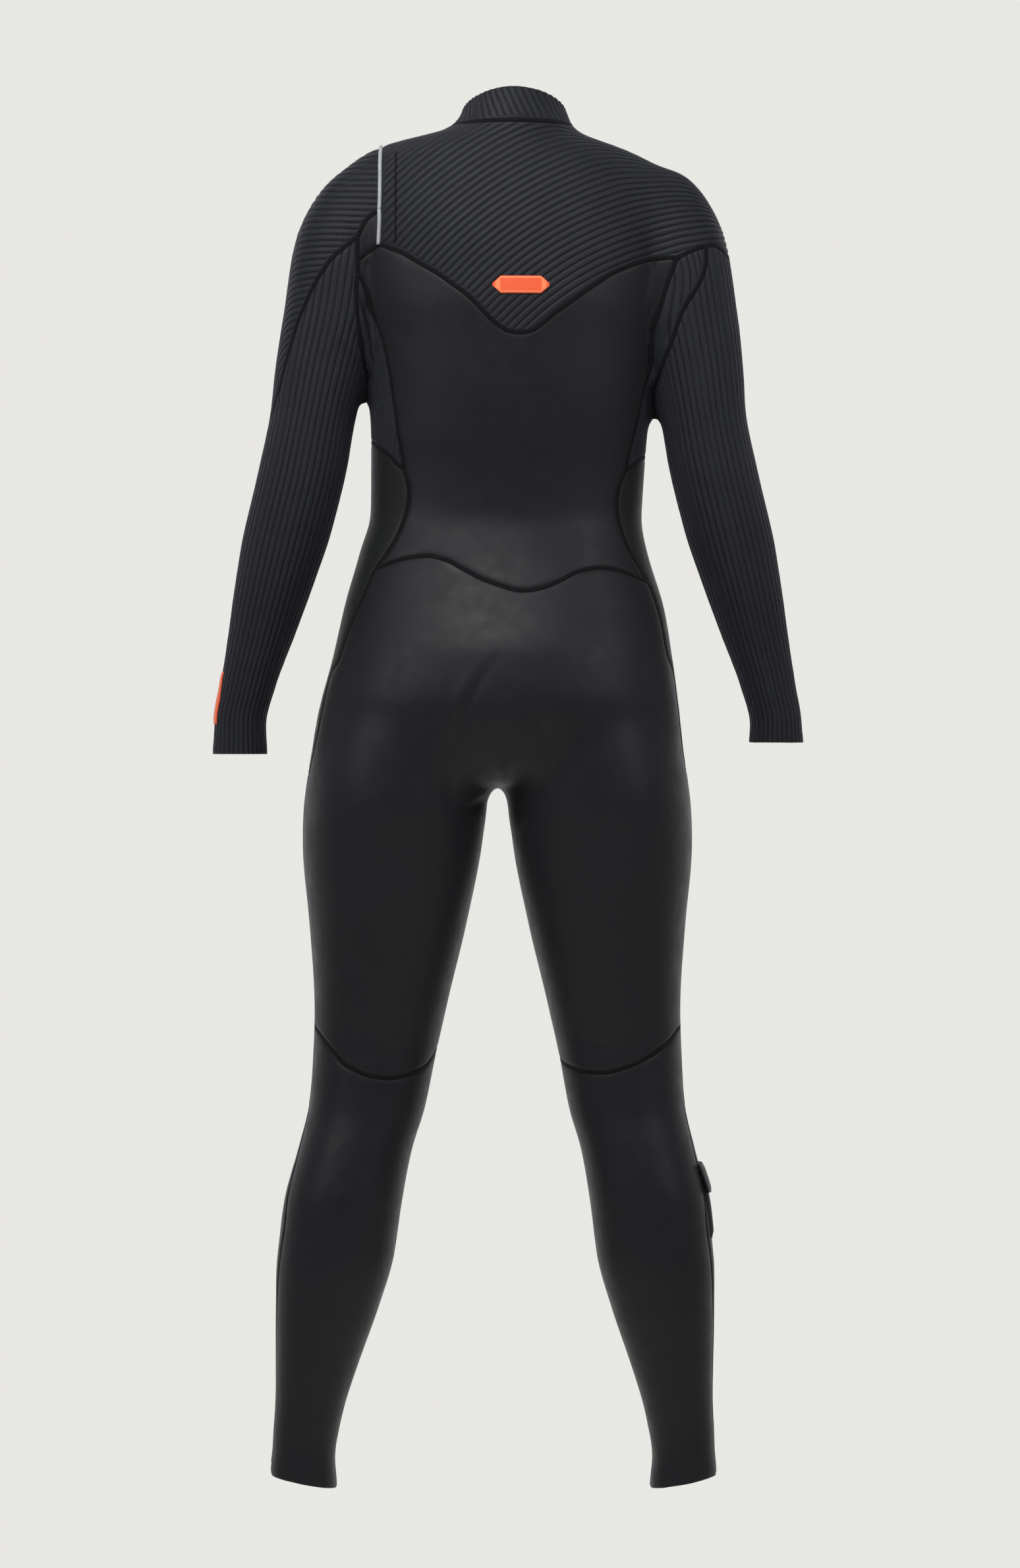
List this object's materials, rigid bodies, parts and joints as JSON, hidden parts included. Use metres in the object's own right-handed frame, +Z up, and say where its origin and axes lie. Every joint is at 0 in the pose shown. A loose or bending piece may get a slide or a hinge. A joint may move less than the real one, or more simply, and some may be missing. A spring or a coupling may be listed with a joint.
{
  "type": "full wetsuit",
  "caption": "Women's full-length wetsuit with a ribbed yoke and sleeves, smooth torso and leg panels, curved chest zip and a calf key pocket.",
  "frame": {"origin": "middle of the neck opening, level with the collar seam at the nape", "axes": "+Z up the standing wearer, -Y the front, +X the wearer's left"},
  "size_m": [0.586, 0.26, 1.3732],
  "materials": {
    "back_badge": "printed and stitched",
    "back_panel": "fine jersey over neoprene, soft sheen",
    "back_yoke": "ribbed knit over neoprene, matt",
    "chest_overlay": "ribbed knit over neoprene, matt",
    "collar": "ribbed knit over neoprene, matt",
    "front_panel": "fine jersey over neoprene, soft sheen",
    "inner_zip_barrier": "smooth skin",
    "key_pocket": "fine jersey over neoprene, soft sheen",
    "key_pocket_flap": "fine jersey over neoprene, soft sheen",
    "left_ankle_seal": "smooth skin",
    "left_calf_panel": "fine jersey over neoprene, soft sheen",
    "left_knee_pad": "fine jersey over neoprene, soft sheen",
    "left_shin_panel": "fine jersey over neoprene, soft sheen",
    "left_shoulder_gusset": "fine jersey over neoprene, soft sheen",
    "left_side_panel": "fine jersey over neoprene, darker",
    "left_sleeve_back": "ribbed knit over neoprene, matt",
    "left_sleeve_front": "ribbed knit over neoprene, matt",
    "left_underarm_panel": "ribbed knit over neoprene, matt",
    "left_wrist_seal": "smooth skin",
    "lower_front_panel": "fine jersey over neoprene, soft sheen",
    "neck_seal": "smooth skin",
    "overlay_edge_binding": "raw pale edge",
    "right_ankle_seal": "smooth skin",
    "right_calf_panel": "fine jersey over neoprene, soft sheen",
    "right_knee_pad": "fine jersey over neoprene, soft sheen",
    "right_shin_panel": "fine jersey over neoprene, soft sheen",
    "right_side_panel": "fine jersey over neoprene, darker",
    "right_sleeve_back": "ribbed knit over neoprene, matt",
    "right_sleeve_front": "ribbed knit over neoprene, matt",
    "right_underarm_panel": "ribbed knit over neoprene, matt",
    "right_wrist_seal": "smooth skin",
    "seat_panel": "fine jersey over neoprene, soft sheen",
    "wrist_tab": "printed and stitched",
    "zip_pull": "moulded",
    "zip_slider": "moulded",
    "zip_stop_left": "moulded",
    "zip_stop_right": "moulded",
    "zip_tape_lower": "woven tape",
    "zip_tape_upper": "woven tape",
    "zip_teeth_lower": "moulded",
    "zip_teeth_upper": "moulded"
  },
  "bodies": {
    "suit": {"back_badge": "back_badge", "back_panel": "back_panel", "back_yoke": "back_yoke", "chest_overlay": "chest_overlay", "collar": "collar", "front_panel": "front_panel", "inner_zip_barrier": "inner_zip_barrier", "key_pocket": "key_pocket", "left_ankle_seal": "left_ankle_seal", "left_calf_panel": "left_calf_panel", "left_knee_pad": "left_knee_pad", "left_shin_panel": "left_shin_panel", "left_shoulder_gusset": "left_shoulder_gusset", "left_side_panel": "left_side_panel", "left_sleeve_back": "left_sleeve_back", "left_sleeve_front": "left_sleeve_front", "left_underarm_panel": "left_underarm_panel", "left_wrist_seal": "left_wrist_seal", "lower_front_panel": "lower_front_panel", "neck_seal": "neck_seal", "overlay_edge_binding": "overlay_edge_binding", "right_ankle_seal": "right_ankle_seal", "right_calf_panel": "right_calf_panel", "right_knee_pad": "right_knee_pad", "right_shin_panel": "right_shin_panel", "right_side_panel": "right_side_panel", "right_sleeve_back": "right_sleeve_back", "right_sleeve_front": "right_sleeve_front", "right_underarm_panel": "right_underarm_panel", "right_wrist_seal": "right_wrist_seal", "seat_panel": "seat_panel", "wrist_tab": "wrist_tab", "zip_stop_left": "zip_stop_left", "zip_stop_right": "zip_stop_right", "zip_tape_lower": "zip_tape_lower", "zip_tape_upper": "zip_tape_upper", "zip_teeth_lower": "zip_teeth_lower", "zip_teeth_upper": "zip_teeth_upper"},
    "zip_slider": {"zip_slider": "zip_slider"},
    "zip_pull": {"zip_pull": "zip_pull"},
    "pocket_flap": {"key_pocket_flap": "key_pocket_flap"}
  },
  "joints": [
    {"name": "zip_slide", "type": "hinge", "parent": "suit", "child": "zip_slider", "pos_m": [0, 0.1753, -0.128], "axis": [0, 0, 1], "range_deg": [0, 35]},
    {"name": "zip_pull_swing", "type": "hinge", "parent": "zip_slider", "child": "zip_pull", "pos_m": [-0.08547, -0.0957, -0.1255], "axis": [-0.9537, 0.3008, 0], "range_deg": [0, 150]},
    {"name": "pocket_flap_lift", "type": "hinge", "parent": "suit", "child": "pocket_flap", "pos_m": [-0.19, 0.005, -1.022], "axis": [0, 1, 0], "range_deg": [0, 110]}
  ]
}
